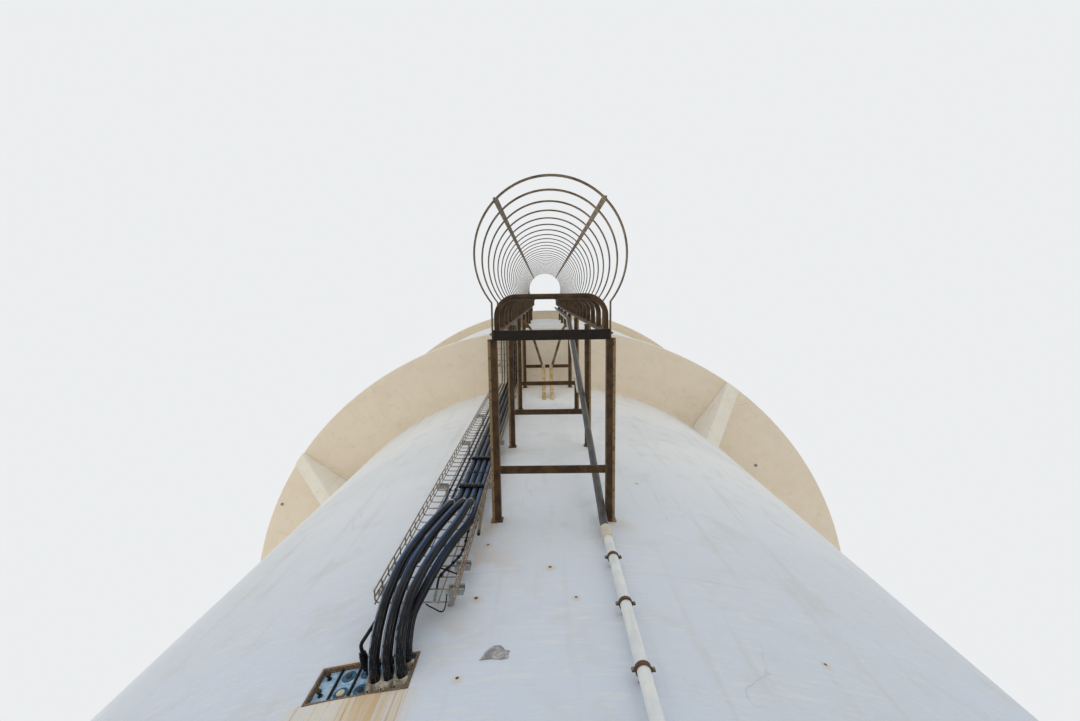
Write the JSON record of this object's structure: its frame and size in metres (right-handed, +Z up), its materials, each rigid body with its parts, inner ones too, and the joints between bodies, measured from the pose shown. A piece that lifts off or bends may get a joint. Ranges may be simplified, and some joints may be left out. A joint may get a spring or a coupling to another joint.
{
  "type": "lighthouse",
  "caption": "Round white lighthouse tower with a wider drum on ribs, a gallery and lantern, a caged ladder on brackets, a cable tray with black cables and a wall pipe.",
  "frame": {"origin": "on the tower's axis, at the underside of the ground floor", "axes": "+Z up; -Y is the front, where the ladder stands; +X is to the right seen from the front"},
  "size_m": [8.1938, 9.0179, 16.3],
  "materials": {
    "white_render": "rough white masonry paint on render, grey in the shade, with fine cracks, spalls and rust streaks; the undersides of the slabs are a weathered buff",
    "ladder_paint": "dark brown paint on steel angle, worn light at the edges",
    "cage_steel": "weathered brown paint over galvanised flat bar",
    "cream_paint": "cream paint, stained",
    "galvanised_steel": "galvanised wire and strip with rust",
    "grey_plastic": "mid grey plastic pipe, chalky",
    "white_plastic": "white plastic pipe, slightly dirty",
    "beige_plastic": "beige plastic",
    "cable_rubber": "black cable sheath with a soft sheen",
    "transit_steel": "steel frame with brown stains",
    "transit_rubber": "blue-grey rubber modules",
    "door_paint": "grey paint on a steel door",
    "bare_steel": "brushed stainless steel",
    "railing_paint": "white paint on steel tube",
    "lantern_paint": "white paint on metal",
    "lantern_pane": "clear lantern glass"
  },
  "bodies": {
    "root": {"ground_floor": "white_render", "drum_slab": "white_render", "gallery_slab": "white_render", "tower_wall_front": "white_render", "tower_wall_right": "white_render", "tower_wall_left": "white_render", "tower_wall_back_right": "white_render", "tower_wall_back_left": "white_render", "tower_wall_over_door": "white_render", "drum_wall_front": "white_render", "drum_wall_right": "white_render", "drum_wall_back": "white_render", "drum_wall_left": "white_render", "slab_ribs": "white_render", "lantern_base": "white_render", "ladder_stile_left": "ladder_paint", "ladder_stile_right": "ladder_paint", "ladder_rungs": "ladder_paint", "ladder_bottom_bar": "ladder_paint", "wall_brackets": "ladder_paint", "drum_brackets": "ladder_paint", "ladder_struts": "ladder_paint", "cage_hoops_front": "cage_steel", "cage_hoops_left": "cage_steel", "cage_hoops_right": "cage_steel", "cage_straps": "cage_steel", "knee_braces": "cream_paint", "cable_tray_wall": "galvanised_steel", "cable_tray_soffit": "galvanised_steel", "cable_tray_drum": "galvanised_steel", "tray_rails": "galvanised_steel", "pipe_clamps": "galvanised_steel", "grey_pipe": "grey_plastic", "white_pipe": "white_plastic", "pipe_coupling": "beige_plastic", "light_conduit": "beige_plastic", "cable_1": "cable_rubber", "cable_2": "cable_rubber", "cable_3": "cable_rubber", "cable_4": "cable_rubber", "thin_cable": "cable_rubber", "spare_cable": "cable_rubber", "inline_connector": "cable_rubber", "transit_frame": "transit_steel", "transit_modules": "transit_rubber", "door_frame": "door_paint", "door_leaf": "door_paint", "door_handle": "bare_steel", "lightning_rod": "bare_steel", "gallery_railing": "railing_paint", "lantern_frame": "lantern_paint", "lantern_roof": "lantern_paint", "roof_vent": "lantern_paint", "lantern_glass": "lantern_pane"}
  },
  "joints": []
}
